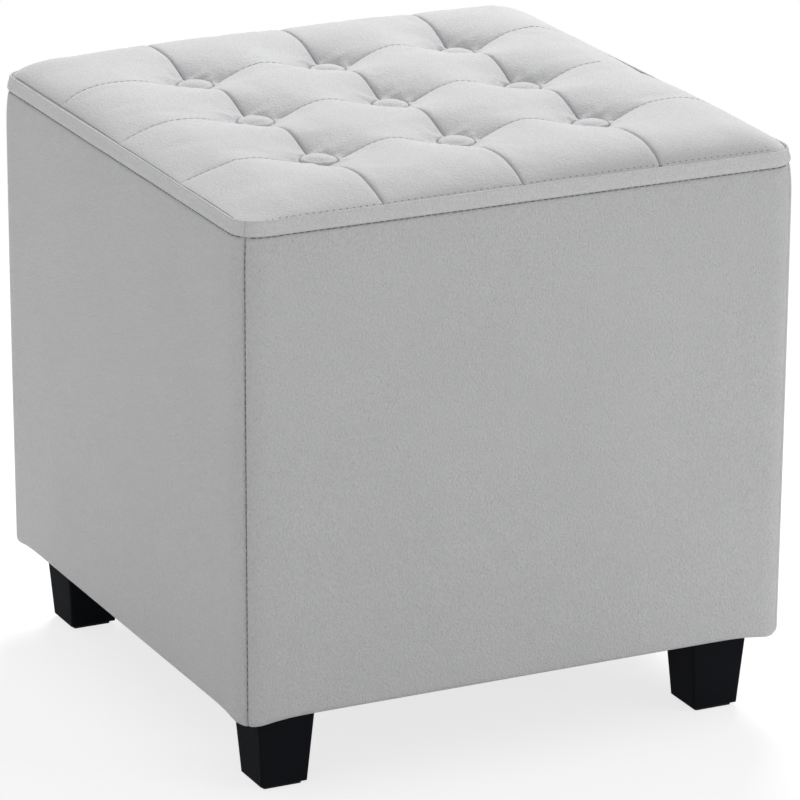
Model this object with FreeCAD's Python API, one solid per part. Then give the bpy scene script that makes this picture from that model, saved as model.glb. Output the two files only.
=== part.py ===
import FreeCAD, Part
import math
import os

# Upholstered cube footstool. A square wooden box carries foam and a sewn cover, the top is
# tufted with covered buttons on twine, and four tapered feet screw into the box's corners.
# Millimetres. X is to the right, Y to the back, Z up. The origin is the centre of the
# footprint on the floor. A piece that is there four times is made once, at the front or the
# front right corner, and turned.

# Body
BODY_SIDE = 400.0  # widest, cover face to cover face, both ways
BODY_HEIGHT = 321.5  # cover's bottom edge to the band's lower seam
BODY_CORNER_R = 20.0  # upright corners, seen from above
ROLL_INSET = 5.5  # cover where it turns under the frame
EDGE_INSET = 3.4  # cover just above the rolled bottom edge
EDGE_RISE = 4.0
BULGE_BELOW_SEAM = 25.0  # the cover stands furthest out here
SEAM_INSET = 1.8  # cover and band at the band's lower seam
ROLL_STEPS = 3
LEAN_STEPS = 3
DRAW_STEPS = 3
COVER_THICK = 1.2
HEM_WIDTH = 30.0  # cover turned under, from the body's face inwards
SIDE_FOAM_THICK = 8.0

# Band round the top
BAND_HEIGHT = 10.0
BAND_THICK = 2.4

# Tufted seat, heights above the band's lower seam
TUFT_COUNT = 3  # buttons in each direction
TUFT_SPACING = 98.0
CROWN_RISE = 25.5  # middle of a pillow
VALLEY_RISE = 22.5  # middle of the seam between two pillows
POCKET_RISE = 11.0  # cover under a button
SEAT_ROLL = 32.0  # outer edge of the seat to its crown line
SEAT_BOARD_BELOW_SEAM = 26.0
SHOULDER_SHARE = 0.72  # height kept half way from the crown line to the first seam
FLAT_SHARE = 0.03  # crown left at the very edge, so that its arcs stay arcs
ROW_SECTIONS = (0, 0.2, 0.5, 0.8, 1)  # shares of the way from one row of buttons to the next
ROLL_SECTIONS = (0, 30, 60, 90)  # degrees round the front edge, up to the crown line
SHOULDER_SECTIONS = (0.6, 0.3, 0)  # shares of the way from the first buttons to the crown line

# Buttons and twine
BUTTON_R = 12.0
BUTTON_RIM = 1.8
BUTTON_DOME = 3.6
BUTTON_COVER_THICK = 0.7
BUTTON_SHELL_THICK = 0.5
BUTTON_BACK_THICK = 1.0
EYELET_R = 2.2
EYELET_WIRE_R = 0.6
TWINE_R = 0.5
TWINE_HALF_SPREAD = 1.2
TWINE_HOLE_R = 3.2
ANCHOR_R = 11.0
ANCHOR_THICK = 2.5
ANCHOR_HOLE_R = 2.2
KNOT_R = 2.8

# Wooden frame
BOARD_THICK = 12.0
SEAT_BOARD_THICK = 12.0
POST_SIDE = 30.0
FOOT_BLOCK_SIDE = 75.0
FOOT_BLOCK_HEIGHT = 30.0
RAIL_WIDTH = 20.0
RAIL_HEIGHT = 30.0

# Feet
FOOT_TOP_SIDE = 41.2
FOOT_BOTTOM_SIDE = 32.8
FOOT_HEIGHT = 55.5
FOOT_FACE_INSET = 20.8  # body's face to the foot's outer face, at its top
FOOT_EDGE_R = 1.5
FOOT_WALL = 2.6
FOOT_BOSS_R = 8.0
FOOT_RIB_THICK = 2.0
PAD_THICK = 2.5
PAD_INSET = 3.0  # foot's bottom edge to the pad's edge

# Foot bolts and insert nuts
BOLT_R = 4.0
BOLT_IN_FOOT = 30.0
BOLT_IN_NUT = 18.0
NUT_R = 7.0
NUT_LENGTH = 22.0
NUT_FLANGE_R = 9.5
NUT_FLANGE_THICK = 1.5

# Screws and staples
SCREW_R = 2.0
SCREW_HEAD_R = 4.0
SCREW_HEAD_HEIGHT = 2.4
SCREW_BITE = 16.0  # length in the piece behind the board
POST_SCREW_COUNT = 3
POST_SCREW_MARGIN = 35.0
POST_SCREW_STAGGER = 12.0
BLOCK_SCREW_MARGIN = 15.0
RAIL_SCREW_SPACING = 120.0
SEAT_SCREW_SPACING = 140.0
STAPLE_CROWN = 10.0
STAPLE_WIRE = 1.2
STAPLE_CROWN_THICK = 0.6
STAPLE_LEG = 8.0
HEM_STAPLE_COUNT = 9
HEM_STAPLE_SPACING = 38.0
DUST_STAPLE_COUNT = 5
DUST_STAPLE_SPACING = 46.0
DUST_STAPLE_INSET = 5.0  # rail's outer face to the staples

# Dust cover under the box
DUST_COVER_THICK = 0.8
DUST_COVER_MARGIN = 1.8  # beyond the feet's outer faces

# Clearances
SOFT_GAP = 0.3  # between curved soft faces
FIT_GAP = 0.1  # round bolts, screws, nuts and button parts
HOLE_GAP = 0.5  # round a bolt in cloth

# Levels, worked out upwards from the floor
Z_FOOT = PAD_THICK
Z_DUST = Z_FOOT + FOOT_HEIGHT
Z_HEM = Z_DUST + DUST_COVER_THICK
Z_FRAME = Z_HEM + COVER_THICK
Z_BLOCK_TOP = Z_FRAME + FOOT_BLOCK_HEIGHT
Z_SEAM = Z_HEM + BODY_HEIGHT
Z_BAND_TOP = Z_SEAM + BAND_HEIGHT
Z_SEAT = Z_SEAM - SEAT_BOARD_BELOW_SEAM
Z_BOARD_TOP = Z_SEAT - SEAT_BOARD_THICK
Z_POCKET = Z_SEAM + POCKET_RISE
Z_BUTTON = Z_POCKET + SOFT_GAP

# Half widths, worked out inwards from the body's face
HALF = BODY_SIDE / 2
FRAME_HALF = HALF - COVER_THICK - SOFT_GAP - SIDE_FOAM_THICK
INNER_HALF = FRAME_HALF - BOARD_THICK
HEM_INNER_HALF = HALF - HEM_WIDTH
BAND_HALF = HALF - SEAM_INSET
SEAT_HALF = BAND_HALF - BAND_THICK - SOFT_GAP
SEAT_CORNER_R = BODY_CORNER_R - (HALF - SEAT_HALF)
FOOT_AT = HALF - FOOT_FACE_INSET - FOOT_TOP_SIDE / 2
DUST_HALF = HALF - FOOT_FACE_INSET + DUST_COVER_MARGIN
POST_AT = INNER_HALF - POST_SIDE / 2
BLOCK_EDGE = INNER_HALF - FOOT_BLOCK_SIDE
TUFT_EDGE = TUFT_SPACING * (TUFT_COUNT - 1) / 2

SIDES = ("front", "right", "back", "left")
CORNERS = ("front_right", "back_right", "back_left", "front_left")
CENTRE = FreeCAD.Vector(0, 0, 0)
UP = FreeCAD.Vector(0, 0, 1)
MARGIN = 5.0  # how far a cutting shape runs past what it cuts


def vec(x, y, z):
    return FreeCAD.Vector(x, y, z)


def box(x0, x1, y0, y1, z0, z1):
    return Part.makeBox(x1 - x0, y1 - y0, z1 - z0, vec(x0, y0, z0))


def square_slab(half, z0, z1):
    return box(-half, half, -half, half, z0, z1)


def cylinder(radius, x, y, z0, z1):
    return Part.makeCylinder(radius, z1 - z0, vec(x, y, z0))


def moved(shape, x, y, z):
    copy = shape.copy()
    copy.translate(vec(x, y, z))
    return copy


def turned(shape, quarters):
    copy = shape.copy()
    copy.rotate(CENTRE, UP, 90 * quarters)
    return copy


def all_four(shape):
    return [turned(shape, quarter) for quarter in range(4)]


def spread(count, spacing):
    first = -spacing * (count - 1) / 2
    return [first + spacing * i for i in range(count)]


def polygon_prism(points, z0, z1):
    corners = [vec(x, y, z0) for x, y in points]
    wire = Part.makePolygon(corners + corners[:1])
    return Part.Face(wire).extrude(vec(0, 0, z1 - z0))


def front_wedge():
    """The quarter of space in front of both diagonals."""
    reach = HALF + MARGIN
    return polygon_prism([(0, 0), (-reach, -reach), (reach, -reach)], 0, Z_BAND_TOP + MARGIN)


def rounded_square(half, radius, z):
    """A closed wire: four straight sides joined by quarter arcs."""
    flat = half - radius
    bend = flat + radius * math.cos(math.pi / 4)
    edges = []
    for quarter in range(4):
        side = Part.makeLine(vec(-flat, -half, z), vec(flat, -half, z))
        corner = Part.Arc(vec(flat, -half, z), vec(bend, -bend, z), vec(half, -flat, z)).toShape()
        edges += [turned(side, quarter), turned(corner, quarter)]
    return Part.Wire(edges)


def rounded_slab(half, radius, z0, z1):
    return Part.Face(rounded_square(half, radius, z0)).extrude(vec(0, 0, z1 - z0))


# Cover, side foam and band


def side_skin(depth, z0, z1):
    """The body's outside, taken in by depth, between two levels.

    It rolls out from the bottom edge, leans out to the bulge and draws in to the seam.
    """
    profile = []
    for step in range(ROLL_STEPS + 1):
        turn = math.pi / 2 * step / ROLL_STEPS
        drawn = (ROLL_INSET - EDGE_INSET) * (1 - math.sin(turn))
        profile.append((EDGE_RISE * (1 - math.cos(turn)), EDGE_INSET + drawn))
    for step in range(1, LEAN_STEPS + 1):
        share = step / LEAN_STEPS
        lean = (BODY_HEIGHT - BULGE_BELOW_SEAM - EDGE_RISE) * share
        profile.append((EDGE_RISE + lean, EDGE_INSET * (1 - share) ** 2))
    for step in range(1, DRAW_STEPS + 1):
        share = step / DRAW_STEPS
        drawn = BULGE_BELOW_SEAM * (1 - share)
        profile.append((BODY_HEIGHT - drawn, SEAM_INSET * share**2))
    wires = []
    for rise, inset in profile:
        taken = inset + depth
        wires.append(rounded_square(HALF - taken, BODY_CORNER_R - taken, Z_HEM + rise))
    skin = Part.makeLoft(wires, True, True)
    return skin.common(square_slab(HALF + MARGIN, z0, z1))


def side_cover(staples):
    ring = side_skin(0, Z_HEM, Z_SEAM).cut(side_skin(COVER_THICK, Z_FRAME, Z_SEAM))
    ring = ring.cut(square_slab(HEM_INNER_HALF, Z_HEM - MARGIN, Z_FRAME))
    return ring.common(front_wedge()).cut(staples)


def side_foam():
    ring = side_skin(COVER_THICK + SOFT_GAP, Z_FRAME, Z_SEAT)
    ring = ring.cut(square_slab(FRAME_HALF, Z_FRAME - MARGIN, Z_SEAT + MARGIN))
    return ring.common(front_wedge())


def top_band():
    outer_r = BODY_CORNER_R - SEAM_INSET
    outer = rounded_slab(BAND_HALF, outer_r, Z_SEAM, Z_BAND_TOP)
    inner = rounded_slab(BAND_HALF - BAND_THICK, outer_r - BAND_THICK, Z_SEAM, Z_BAND_TOP)
    return outer.cut(inner).common(front_wedge())


# Tufted seat


def seam_rise(share):
    """A seam's height, level at a button, where share is 0, and half way to the next, at 1."""
    return POCKET_RISE + (VALLEY_RISE - POCKET_RISE) * (1 - math.cos(math.pi * share)) / 2


def crown_rise(share):
    """A pillow's height, steep at the seam, where share is 0, and level at its middle, at 1."""
    return VALLEY_RISE + (CROWN_RISE - VALLEY_RISE) * math.sin(math.pi / 2 * share)


def edge_rise(full, share):
    """A height that comes down to the band's top at the seat's edge, where share is 0."""
    return BAND_HEIGHT + (full - BAND_HEIGHT) * share


def seat_section(y, valley, crown, depth, reach):
    """The seat's top line across it at y: one arc in each inner pillow, two in each outer."""
    columns = spread(TUFT_COUNT, TUFT_SPACING)
    crown_line = SEAT_HALF - SEAT_ROLL
    roll = math.sin(math.pi / 4)
    roll_x = SEAT_HALF - SEAT_ROLL * (1 - roll)
    shoulder_x = (crown_line + TUFT_EDGE) / 2
    shoulder = valley + (crown - valley) * SHOULDER_SHARE
    left = [(-SEAT_HALF, BAND_HEIGHT), (-roll_x, edge_rise(crown, roll)), (-crown_line, crown)]
    left.append((-shoulder_x, shoulder))
    points = left + [(columns[0], valley)]
    for a, b in zip(columns, columns[1:]):
        points += [((a + b) / 2, crown), (b, valley)]
    points += [(-x, rise) for x, rise in reversed(left)]
    spots = [vec(x, y, Z_SEAM + rise - depth) for x, rise in points]
    edges = []
    for i in range(0, len(spots) - 2, 2):
        edges.append(Part.Arc(spots[i], spots[i + 1], spots[i + 2]).toShape())
    low = vec(0, 0, Z_SEAT - MARGIN - spots[0].z)
    out = vec(reach, 0, 0)
    left_out, right_out = spots[0] - out, spots[-1] + out
    path = [spots[-1], right_out, right_out + low, left_out + low, left_out, spots[0]]
    edges += [Part.makeLine(a, b) for a, b in zip(path, path[1:])]
    return Part.Wire(edges)


def inner_row(y0, y1, depth, reach):
    """One row of pillows between two rows of buttons."""
    wires = []
    for share in ROW_SECTIONS:
        inwards = 1 - abs(2 * share - 1)
        y = y0 + (y1 - y0) * share
        wires.append(seat_section(y, seam_rise(inwards), crown_rise(inwards), depth, reach))
    return Part.makeLoft(wires, True, False)


def front_row(depth, reach):
    """The row of pillows that rolls over to the front edge."""
    crown_line = SEAT_HALF - SEAT_ROLL
    wires = []
    for degrees in ROLL_SECTIONS:
        turn = math.radians(degrees)
        y = -SEAT_HALF + SEAT_ROLL * (1 - math.cos(turn))
        level = max(math.sin(turn), FLAT_SHARE)
        valley = edge_rise(VALLEY_RISE, level)
        wires.append(seat_section(y, valley, edge_rise(CROWN_RISE, level), depth, reach))
    for share in SHOULDER_SECTIONS:
        y = -TUFT_EDGE - (crown_line - TUFT_EDGE) * share
        wires.append(seat_section(y, seam_rise(share), crown_rise(share), depth, reach))
    return Part.makeLoft(wires, True, False)


def button_places():
    places = spread(TUFT_COUNT, TUFT_SPACING)
    return [(x, y) for y in places for x in places]


def pillows(depth, reach):
    """Everything under the seat's top surface, lowered by depth, with the button pockets."""
    front = front_row(depth, reach)
    rows = [front, turned(front, 2)]
    lines = spread(TUFT_COUNT, TUFT_SPACING)
    rows += [inner_row(a, b, depth, reach) for a, b in zip(lines, lines[1:])]
    block = rows[0].multiFuse(rows[1:])
    pocket_r = BUTTON_R + SOFT_GAP + depth
    top = Z_SEAM + CROWN_RISE + MARGIN
    pockets = [cylinder(pocket_r, x, y, Z_POCKET - depth, top) for x, y in button_places()]
    return block.cut(pockets)


def seat_outline(z0, z1):
    return rounded_slab(SEAT_HALF, SEAT_CORNER_R, z0, z1)


def twine_holes(radius, z0, z1):
    return [cylinder(radius, x, y, z0, z1) for x, y in button_places()]


def seat_cover():
    top = Z_SEAM + CROWN_RISE + MARGIN
    sheet = pillows(0, MARGIN).cut(pillows(COVER_THICK, 2 * MARGIN))
    sheet = sheet.common(seat_outline(Z_SEAM, top))
    return sheet.cut(twine_holes(TWINE_HOLE_R, Z_SEAM, top))


def seat_foam():
    top = Z_SEAM + CROWN_RISE + MARGIN
    foam = pillows(COVER_THICK + SOFT_GAP, MARGIN).common(seat_outline(Z_SEAT, top))
    return foam.cut(twine_holes(TWINE_HOLE_R, Z_SEAT - MARGIN, top))


# Buttons and twine


def dome(radius, rim, rise, z):
    """A shallow round cap: an upright rim and a part of a sphere on it."""
    sphere_r = (radius**2 + rise**2) / (2 * rise)
    shoulder = z + rim + rise - sphere_r + math.sqrt(sphere_r**2 - radius**2 / 4)
    arc = Part.Arc(
        vec(radius, 0, z + rim), vec(radius / 2, 0, shoulder), vec(0, 0, z + rim + rise)
    ).toShape()
    edges = [
        Part.makeLine(vec(0, 0, z), vec(radius, 0, z)),
        Part.makeLine(vec(radius, 0, z), vec(radius, 0, z + rim)),
        arc,
        Part.makeLine(vec(0, 0, z + rim + rise), vec(0, 0, z)),
    ]
    return Part.Face(Part.Wire(edges)).revolve(CENTRE, UP, 360)


def hollow_dome(radius, rim, thick, z):
    """A dome with its inside taken out from below."""
    inside = dome(radius - thick, rim, BUTTON_DOME - thick, z)
    return dome(radius, rim, BUTTON_DOME, z).cut(inside)


def button_cover():
    return hollow_dome(BUTTON_R, BUTTON_RIM, BUTTON_COVER_THICK, Z_BUTTON)


def button_shell():
    radius = BUTTON_R - BUTTON_COVER_THICK - FIT_GAP
    thick = BUTTON_SHELL_THICK
    rise = BUTTON_DOME - BUTTON_COVER_THICK - FIT_GAP
    outside = dome(radius, BUTTON_RIM, rise, Z_BUTTON)
    return outside.cut(dome(radius - thick, BUTTON_RIM, rise - thick, Z_BUTTON))


def button_back():
    radius = BUTTON_R - BUTTON_COVER_THICK - BUTTON_SHELL_THICK - 2 * FIT_GAP
    plate = cylinder(radius, 0, 0, Z_BUTTON, Z_BUTTON + BUTTON_BACK_THICK)
    eyelet = Part.makeTorus(EYELET_R, EYELET_WIRE_R, vec(0, 0, eyelet_level()), vec(0, 1, 0))
    return plate.fuse(eyelet)


def eyelet_level():
    """Height of the eyelet's centre, with the top of its ring in the back plate."""
    return Z_BUTTON + EYELET_WIRE_R - EYELET_R


def button_twine():
    """A strand up one side of the eyelet's lower wire and down the other, knotted below."""
    bend = eyelet_level() - EYELET_R
    knot = Z_BOARD_TOP - ANCHOR_THICK - KNOT_R - FIT_GAP
    start = Part.makeCircle(TWINE_R, vec(0, TWINE_HALF_SPREAD, bend), UP)
    bight = Part.Face(Part.Wire(start)).revolve(vec(0, 0, bend), vec(1, 0, 0), 180)
    strands = [cylinder(TWINE_R, 0, side * TWINE_HALF_SPREAD, knot, bend) for side in (-1, 1)]
    return bight.multiFuse(strands + [Part.makeSphere(KNOT_R, vec(0, 0, knot))])


def twine_anchor():
    low = Z_BOARD_TOP - ANCHOR_THICK
    return cylinder(ANCHOR_R, 0, 0, low, Z_BOARD_TOP).cut(
        cylinder(ANCHOR_HOLE_R, 0, 0, low - MARGIN, Z_BOARD_TOP + MARGIN)
    )


def at_buttons(shape):
    return [moved(shape, x, y, 0) for x, y in button_places()]


# Screws and staples


def screw(length, gap):
    """A countersunk screw that points down from z = 0, grown all round by gap."""
    shank = cylinder(SCREW_R + gap, 0, 0, -length - gap, 0)
    head_r = SCREW_HEAD_R + gap
    head = Part.makeCone(SCREW_R + gap, head_r, SCREW_HEAD_HEIGHT, vec(0, 0, -SCREW_HEAD_HEIGHT))
    return shank.fuse(head)


def front_frame_screws(gap):
    """The screws through the front board, into its posts, foot blocks and rail."""
    inwards = screw(BOARD_THICK + SCREW_BITE, gap)
    inwards.rotate(CENTRE, vec(1, 0, 0), 90)
    low = Z_BLOCK_TOP + POST_SCREW_MARGIN
    pitch = (Z_BOARD_TOP - POST_SCREW_MARGIN - POST_SCREW_STAGGER - low) / (POST_SCREW_COUNT - 1)
    levels = [low + pitch * i for i in range(POST_SCREW_COUNT)]
    spots = [(POST_AT, z) for z in levels]
    spots += [(-POST_AT, z + POST_SCREW_STAGGER) for z in levels]
    block_z = Z_FRAME + FOOT_BLOCK_HEIGHT / 2
    block_x = BLOCK_EDGE + BLOCK_SCREW_MARGIN
    spots += [(-block_x, block_z), (block_x, block_z)]
    spots += [(x, Z_FRAME + RAIL_HEIGHT / 2) for x in spread(2, RAIL_SCREW_SPACING)]
    return [moved(inwards, x, -FRAME_HALF, z) for x, z in spots]


def frame_screws(gap):
    front = front_frame_screws(gap)
    return [turned(one, quarter) for quarter in range(4) for one in front]


def seat_board_screws(gap):
    """Down through the seat board into each post and each side board."""
    down = screw(SEAT_BOARD_THICK + SCREW_BITE, gap)
    edge = -(FRAME_HALF - BOARD_THICK / 2)
    front = [moved(down, POST_AT, -POST_AT, Z_SEAT)]
    front += [moved(down, x, edge, Z_SEAT) for x in spread(2, SEAT_SCREW_SPACING)]
    return [turned(one, quarter) for quarter in range(4) for one in front]


def staple(gap):
    """A staple driven upwards, its crown just under z = 0, grown all round by gap."""
    side = STAPLE_WIRE / 2 + gap
    end = STAPLE_CROWN / 2
    crown = box(-end - gap, end + gap, -side, side, -STAPLE_CROWN_THICK - gap, 0)
    leg = box(end - STAPLE_CROWN_THICK - gap, end + gap, -side, side, 0, STAPLE_LEG + gap)
    return crown.multiFuse([leg, leg.mirror(CENTRE, vec(1, 0, 0))])


def front_hem_staples(gap):
    y = -(FRAME_HALF - BOARD_THICK / 2)
    return [moved(staple(gap), x, y, Z_HEM) for x in spread(HEM_STAPLE_COUNT, HEM_STAPLE_SPACING)]


def front_dust_staples(gap):
    y = -(INNER_HALF - DUST_STAPLE_INSET)
    places = spread(DUST_STAPLE_COUNT, DUST_STAPLE_SPACING)
    return [moved(staple(gap), x, y, Z_DUST) for x in places]


# Wooden frame


def side_board():
    """The front board. It covers the left board's end and butts against the right board."""
    board = box(-FRAME_HALF, INNER_HALF, -FRAME_HALF, -INNER_HALF, Z_FRAME, Z_BOARD_TOP)
    own = front_frame_screws(FIT_GAP) + front_hem_staples(FIT_GAP)
    return board.cut(own + seat_board_screws(FIT_GAP))


def corner_post():
    low = INNER_HALF - POST_SIDE
    post = box(low, INNER_HALF, -INNER_HALF, -low, Z_BLOCK_TOP, Z_BOARD_TOP)
    return post.cut(frame_screws(FIT_GAP) + seat_board_screws(FIT_GAP))


def foot_block():
    block = box(BLOCK_EDGE, INNER_HALF, -INNER_HALF, -BLOCK_EDGE, Z_FRAME, Z_BLOCK_TOP)
    socket = cylinder(NUT_R + FIT_GAP, FOOT_AT, -FOOT_AT, Z_FRAME, Z_BLOCK_TOP)
    rebate_top = Z_FRAME + NUT_FLANGE_THICK
    rebate = cylinder(NUT_FLANGE_R + FIT_GAP, FOOT_AT, -FOOT_AT, Z_FRAME, rebate_top)
    return block.cut([socket, rebate] + frame_screws(FIT_GAP))


def base_rail():
    top = Z_FRAME + RAIL_HEIGHT
    rail = box(-BLOCK_EDGE, BLOCK_EDGE, -INNER_HALF, RAIL_WIDTH - INNER_HALF, Z_FRAME, top)
    return rail.cut(front_frame_screws(FIT_GAP) + front_dust_staples(FIT_GAP))


def seat_board():
    board = square_slab(FRAME_HALF, Z_BOARD_TOP, Z_SEAT)
    holes = twine_holes(TWINE_HOLE_R, Z_BOARD_TOP - MARGIN, Z_SEAT + MARGIN)
    return board.cut(holes + seat_board_screws(FIT_GAP))


# Feet and what holds them


def square_taper(half0, half1, radius, z0, z1):
    wires = [rounded_square(half0, radius, z0), rounded_square(half1, radius, z1)]
    return Part.makeLoft(wires, True, True)


def foot():
    """A hollow moulded foot: tapered walls, a closed bottom, a boss and four ribs."""
    low = FOOT_BOTTOM_SIDE / 2
    high = FOOT_TOP_SIDE / 2
    floor = Z_FOOT + FOOT_WALL
    low_inside = low + (high - low) * FOOT_WALL / FOOT_HEIGHT - FOOT_WALL
    inside = square_taper(low_inside, high - FOOT_WALL, FOOT_EDGE_R, floor, Z_DUST)
    boss = cylinder(FOOT_BOSS_R, 0, 0, floor, Z_DUST)
    half_rib = FOOT_RIB_THICK / 2
    ribs = [
        box(-high, high, -half_rib, half_rib, floor, Z_DUST),
        box(-half_rib, half_rib, -high, high, floor, Z_DUST),
    ]
    core = boss.multiFuse(ribs).common(inside)
    shell = square_taper(low, high, FOOT_EDGE_R, Z_FOOT, Z_DUST).cut(inside)
    hole = cylinder(BOLT_R + FIT_GAP, 0, 0, Z_DUST - BOLT_IN_FOOT - FIT_GAP, Z_DUST + MARGIN)
    return moved(shell.fuse(core).cut(hole), FOOT_AT, -FOOT_AT, 0)


def foot_pad():
    half = FOOT_BOTTOM_SIDE / 2 - PAD_INSET
    return moved(rounded_slab(half, FOOT_EDGE_R, 0, Z_FOOT), FOOT_AT, -FOOT_AT, 0)


def foot_bolt():
    return cylinder(BOLT_R, FOOT_AT, -FOOT_AT, Z_DUST - BOLT_IN_FOOT, Z_FRAME + BOLT_IN_NUT)


def insert_nut():
    body = cylinder(NUT_R, FOOT_AT, -FOOT_AT, Z_FRAME, Z_FRAME + NUT_LENGTH)
    flange = cylinder(NUT_FLANGE_R, FOOT_AT, -FOOT_AT, Z_FRAME, Z_FRAME + NUT_FLANGE_THICK)
    bore = cylinder(BOLT_R + FIT_GAP, FOOT_AT, -FOOT_AT, Z_FRAME - MARGIN, Z_FRAME + NUT_LENGTH + MARGIN)
    return body.fuse(flange).cut(bore)


def dust_cover():
    sheet = square_slab(DUST_HALF, Z_DUST, Z_HEM)
    bolts = all_four(cylinder(BOLT_R + HOLE_GAP, FOOT_AT, -FOOT_AT, Z_DUST - MARGIN, Z_HEM + MARGIN))
    legs = [turned(one, quarter) for quarter in range(4) for one in front_dust_staples(FIT_GAP)]
    return sheet.cut(bolts + legs)


# Nodes


def named_nodes():
    """Every node of the footstool with its solids."""
    nodes = {}
    hem_side = front_hem_staples(FIT_GAP) + front_dust_staples(FIT_GAP)
    per_side = {
        "side_board": side_board(),
        "base_rail": base_rail(),
        "side_foam": side_foam(),
        "side_cover": side_cover(hem_side),
        "top_band": top_band(),
    }
    per_corner = {
        "corner_post": corner_post(),
        "foot_block": foot_block(),
        "foot": foot(),
        "foot_pad": foot_pad(),
    }
    for pieces, places in ((per_side, SIDES), (per_corner, CORNERS)):
        for name, shape in pieces.items():
            for quarter, place in enumerate(places):
                nodes[name + "_" + place] = [turned(shape, quarter)]
    nodes["seat_board"] = [seat_board()]
    nodes["seat_foam"] = [seat_foam()]
    nodes["seat_cover"] = [seat_cover()]
    nodes["dust_cover"] = [dust_cover()]
    nodes["button_covers"] = at_buttons(button_cover())
    nodes["button_shells"] = at_buttons(button_shell())
    nodes["button_backs"] = at_buttons(button_back())
    nodes["button_twine"] = at_buttons(button_twine())
    nodes["twine_anchors"] = at_buttons(twine_anchor())
    nodes["foot_bolts"] = all_four(foot_bolt())
    nodes["insert_nuts"] = all_four(insert_nut())
    nodes["frame_screws"] = frame_screws(0)
    nodes["seat_board_screws"] = seat_board_screws(0)
    stapled = {"hem_staples": front_hem_staples(0), "dust_staples": front_dust_staples(0)}
    for name, front in stapled.items():
        nodes[name] = [turned(one, quarter) for quarter in range(4) for one in front]
    return nodes


def main():
    os.makedirs("parts", exist_ok=True)
    for name, shapes in named_nodes().items():
        shape = shapes[0] if len(shapes) == 1 else Part.makeCompound(shapes)
        shape.exportStep(os.path.join("parts", name + ".step"))
        print(name, len(shape.Solids), shape.isValid(), round(shape.Volume, 1))


main()
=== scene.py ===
"""Looks of the upholstered cube footstool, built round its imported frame.

The tufted top, its buttons, the band, the side panels, the thread and the dust cover are modelled here.
The wooden box, the feet and the hardware keep the frame's shapes and get their finishes here.
Lengths are in metres. X is to the right, Y to the back and Z up.
"""

from __future__ import annotations

import logging
import math
from collections.abc import Sequence
from dataclasses import dataclass
from enum import Enum

import bmesh
import bpy
import numpy as np
from mathutils import Matrix, Vector


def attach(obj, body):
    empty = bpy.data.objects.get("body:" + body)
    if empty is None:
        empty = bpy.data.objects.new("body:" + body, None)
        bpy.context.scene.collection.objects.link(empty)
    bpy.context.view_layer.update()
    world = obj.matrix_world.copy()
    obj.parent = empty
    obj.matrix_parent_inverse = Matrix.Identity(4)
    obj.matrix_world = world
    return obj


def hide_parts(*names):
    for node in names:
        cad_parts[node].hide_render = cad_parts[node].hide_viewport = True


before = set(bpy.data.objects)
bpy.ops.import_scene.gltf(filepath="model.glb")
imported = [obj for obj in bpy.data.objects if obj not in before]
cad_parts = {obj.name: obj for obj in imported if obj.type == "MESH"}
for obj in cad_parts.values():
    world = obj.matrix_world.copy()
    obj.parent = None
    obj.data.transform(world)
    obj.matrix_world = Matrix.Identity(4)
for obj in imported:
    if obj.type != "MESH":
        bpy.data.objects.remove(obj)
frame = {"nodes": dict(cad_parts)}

LOG = logging.getLogger("footstool")
MM = 0.001
SIDES = ("front", "right", "back", "left")
Colour = tuple[float, float, float]
Place = tuple[float, float, float]
Rows = tuple[float, float, float]
Points = np.ndarray
Values = Points | float
Material = bpy.types.Material
Piece = bpy.types.Object
Inputs = dict[str | int, object]


class Signal:
    """A number, colour or vector that a node gives out. Its operators add nodes."""

    def __init__(self, net: Net, socket: bpy.types.NodeSocket) -> None:
        """Keep the net and the socket."""
        self.net = net
        self.socket = socket

    def __add__(self, other: Signal | float) -> Signal:
        """Add two values."""
        return self.net.maths("ADD", self, other)

    def __radd__(self, other: float) -> Signal:
        """Add two values."""
        return self.net.maths("ADD", other, self)

    def __sub__(self, other: Signal | float) -> Signal:
        """Take the other value away."""
        return self.net.maths("SUBTRACT", self, other)

    def __rsub__(self, other: float) -> Signal:
        """Take this value away from a number."""
        return self.net.maths("SUBTRACT", other, self)

    def __mul__(self, other: Signal | float) -> Signal:
        """Multiply two values."""
        return self.net.maths("MULTIPLY", self, other)

    def __rmul__(self, other: float) -> Signal:
        """Multiply two values."""
        return self.net.maths("MULTIPLY", other, self)

    def __truediv__(self, other: Signal | float) -> Signal:
        """Divide by the other value."""
        return self.net.maths("DIVIDE", self, other)

    def __rtruediv__(self, other: float) -> Signal:
        """Divide a number by this value."""
        return self.net.maths("DIVIDE", other, self)

    def clipped(self) -> Signal:
        """Keep the value from 0 to 1."""
        return self.net.signal("ShaderNodeClamp", {}, {"Value": self})


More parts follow.
